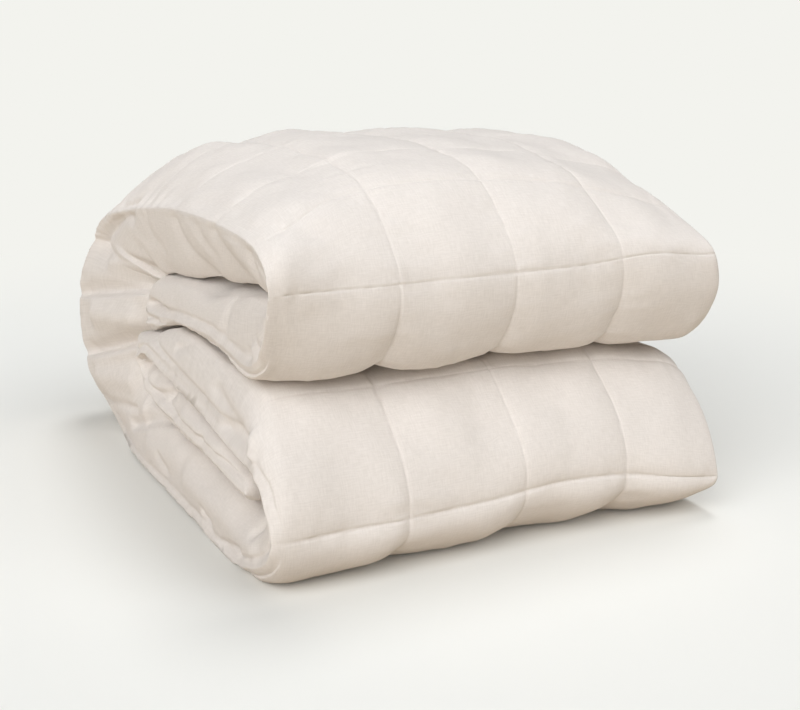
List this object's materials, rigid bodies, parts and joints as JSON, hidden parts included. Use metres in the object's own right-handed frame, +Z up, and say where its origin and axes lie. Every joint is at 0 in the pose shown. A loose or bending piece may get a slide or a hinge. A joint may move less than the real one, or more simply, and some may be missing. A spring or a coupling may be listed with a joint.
{
  "type": "folded weighted blanket",
  "caption": "Quilted weighted blanket in undyed cotton, folded into a thick stack with two rounded front folds and a wrap round the back; lies flat on its base.",
  "frame": {"origin": "middle of the base of the folded blanket, on the surface that it lies on", "axes": "+X to the right along the front folds, +Y from the front folds to the wrap at the back, +Z up"},
  "size_m": [0.4024, 0.5278, 0.2937],
  "materials": {
    "cotton": "matt"
  },
  "bodies": {
    "root": {"blanket": "cotton"}
  },
  "joints": []
}
